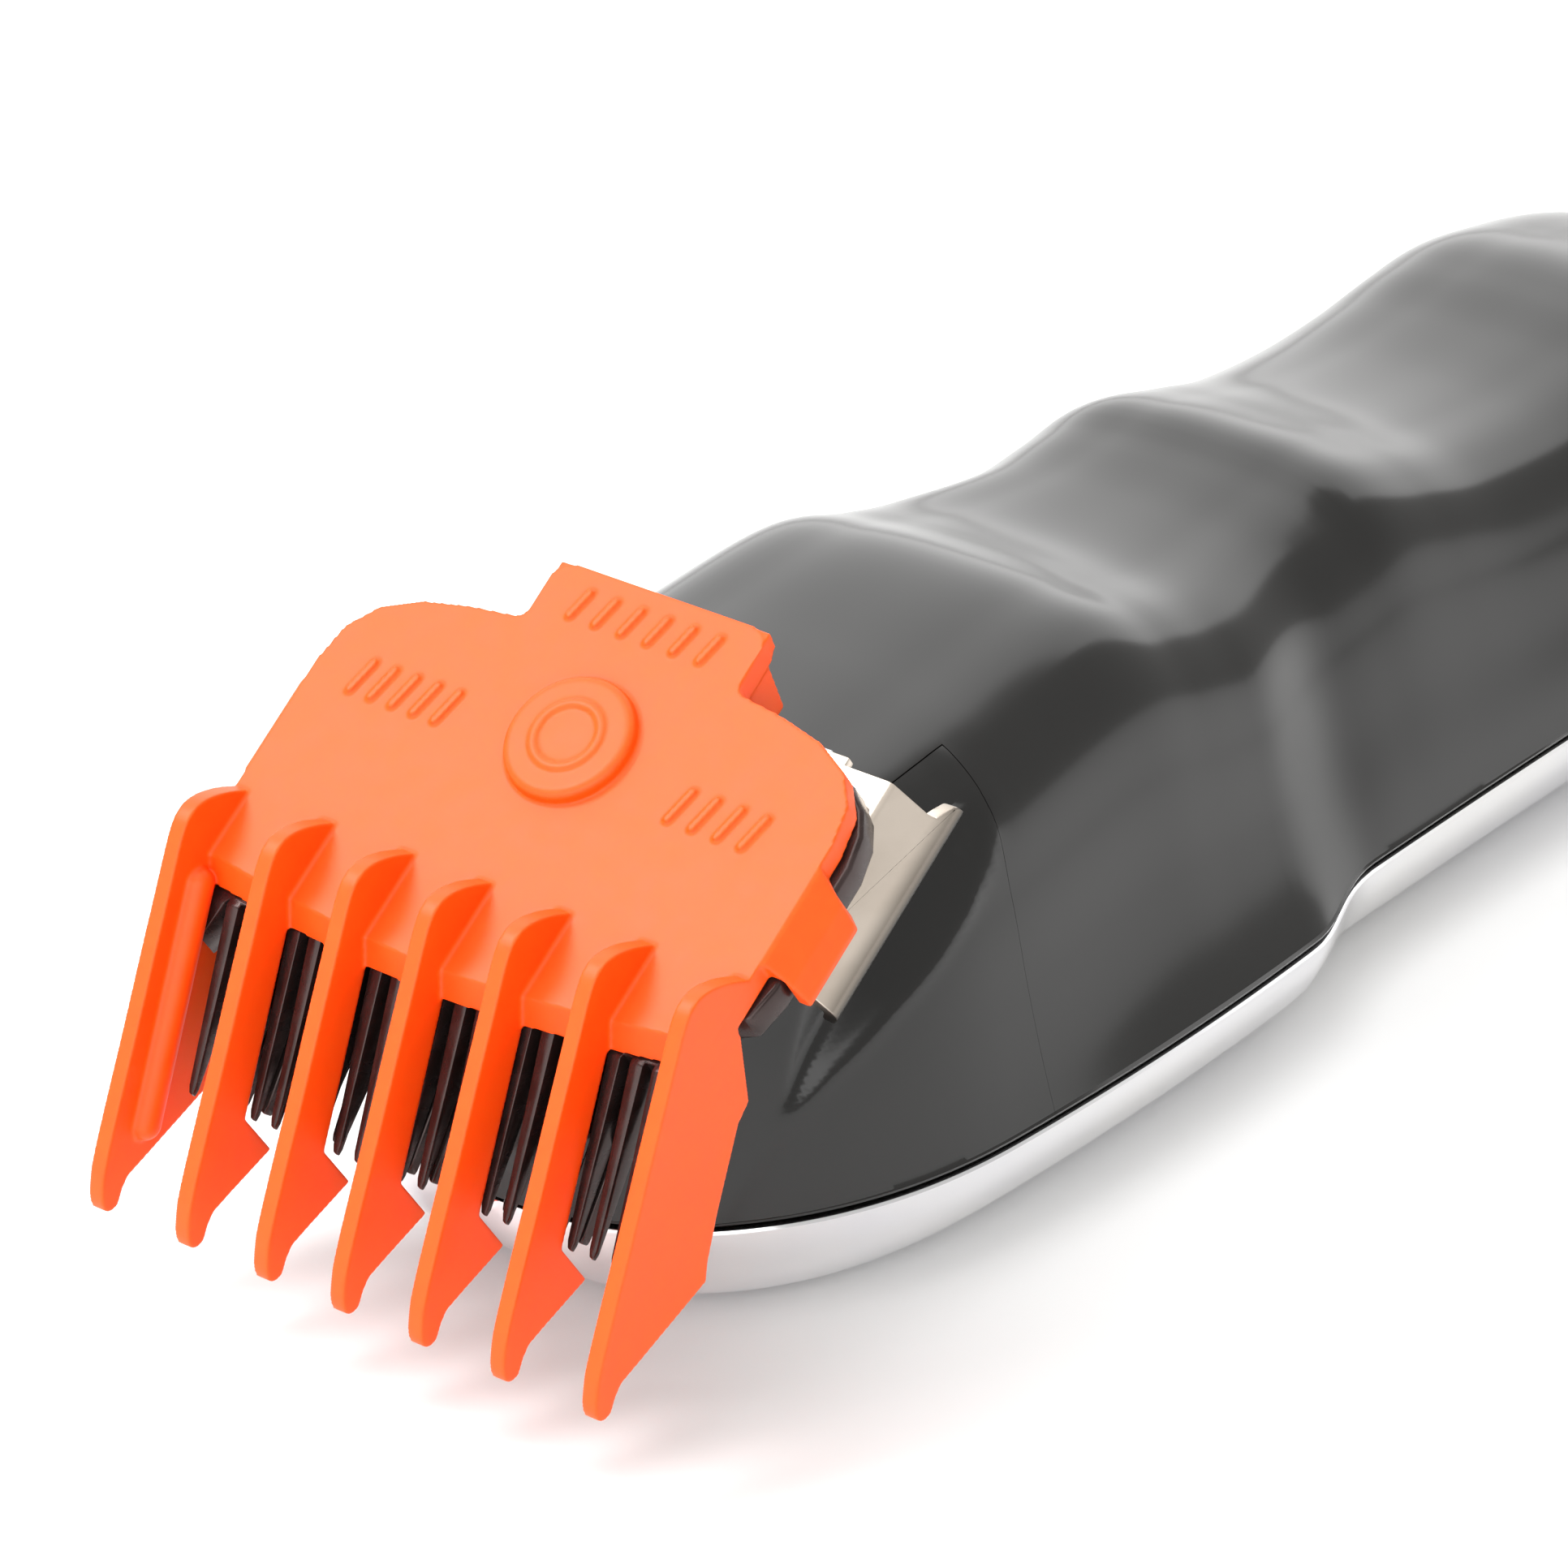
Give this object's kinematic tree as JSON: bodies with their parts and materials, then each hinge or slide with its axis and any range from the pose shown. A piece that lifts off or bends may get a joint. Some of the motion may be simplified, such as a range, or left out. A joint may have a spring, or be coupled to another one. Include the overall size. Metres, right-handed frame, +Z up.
{
  "type": "hair clipper",
  "caption": "Cordless hair clipper with a black waved grip, bright back shell, cutting blade in a hinged stamped cradle and an orange guide comb held by a magnet.",
  "frame": {"origin": "on the resting surface, below the middle of the clipper's length and width", "axes": "+Y from the blade to the tail, +X to the right hand seen from the tail with the grip side up, +Z up"},
  "size_m": [0.0562, 0.197, 0.0515],
  "materials": {
    "black_gloss": "glossy black moulded plastic",
    "chrome": "bright chrome-plated shell",
    "steel": "plain steel",
    "stamped_steel": "satin nickel-plated stamping",
    "coated_steel": "dark coated cutting steel",
    "nylon": "dark moulded nylon",
    "comb_orange": "satin bright orange plastic",
    "rubber": "soft black rubber",
    "brass": "plain brass",
    "cell_wrap": "blue shrink wrap",
    "board_green": "green solder mask",
    "lens": "milky indicator lens"
  },
  "bodies": {
    "housing": {"upper_shell": "black_gloss", "nose_cover": "black_gloss", "lower_shell": "chrome", "shell_screw_head_left": "steel", "shell_screw_head_right": "steel", "shell_screw_tail_left": "steel", "shell_screw_tail_right": "steel", "chassis": "nylon", "hinge_bracket": "steel", "hinge_pin": "steel", "lever_pivot_pin": "steel", "lever_boot": "rubber", "motor_can": "steel", "motor_end_cap": "nylon", "motor_clamp": "steel", "battery_cell_left": "cell_wrap", "battery_cell_right": "cell_wrap", "battery_holder": "nylon", "battery_contact_left": "brass", "battery_contact_right": "brass", "circuit_board": "board_green", "switch_module": "nylon", "charge_inlet": "nylon", "indicator_lens": "lens", "latch_spring": "steel"},
    "cradle": {"blade_cradle": "stamped_steel", "fixed_blade": "coated_steel", "blade_screw_left": "steel", "blade_screw_right": "steel", "tension_spring": "steel"},
    "comb": {"guide_comb": "comb_orange", "comb_magnet": "steel"},
    "cutter": {"moving_blade": "coated_steel"},
    "lever": {"drive_lever": "nylon"},
    "rotor": {"motor_shaft": "steel", "crank_disc": "brass", "crank_roller": "steel"},
    "latch": {"release_latch": "black_gloss"},
    "switch": {"power_switch": "black_gloss"}
  },
  "joints": [
    {"name": "cradle_open", "type": "hinge", "parent": "housing", "child": "cradle", "pos_m": [0, -0.05894, 0.04077], "axis": [-1, 0, 0], "range_deg": [0, 50]},
    {"name": "comb_lift", "type": "slide", "parent": "cradle", "child": "comb", "axis": [0, -0.5807, 0.8141], "range_m": [0, 0.02]},
    {"name": "motor_turn", "type": "hinge", "parent": "housing", "child": "rotor", "pos_m": [0, -0.042, 0.02175], "axis": [0, 1, 0], "range_deg": [-45, 45]},
    {"name": "lever_swing", "type": "hinge", "parent": "housing", "child": "lever", "pos_m": [0, -0.06, 0.0215], "axis": [0, 0, 1], "range_deg": [-3.5, 3.5]},
    {"name": "cutter_slide", "type": "slide", "parent": "cradle", "child": "cutter", "axis": [1, 0, 0], "range_m": [-0.00093, 0.00093]},
    {"name": "latch_press", "type": "slide", "parent": "housing", "child": "latch", "axis": [0, 1, 0], "range_m": [0, 0.0012], "stiffness_N_per_m": 400, "deforming": ["latch_spring"]},
    {"name": "switch_slide", "type": "slide", "parent": "housing", "child": "switch", "axis": [0, 1, 0], "range_m": [0, 0.004]}
  ],
  "couplings": [
    {"joint": "lever_swing", "follows": "cutter_slide", "rad_per_m": 62.4},
    {"joint": "motor_turn", "follows": "cutter_slide", "rad_per_m": -840}
  ]
}
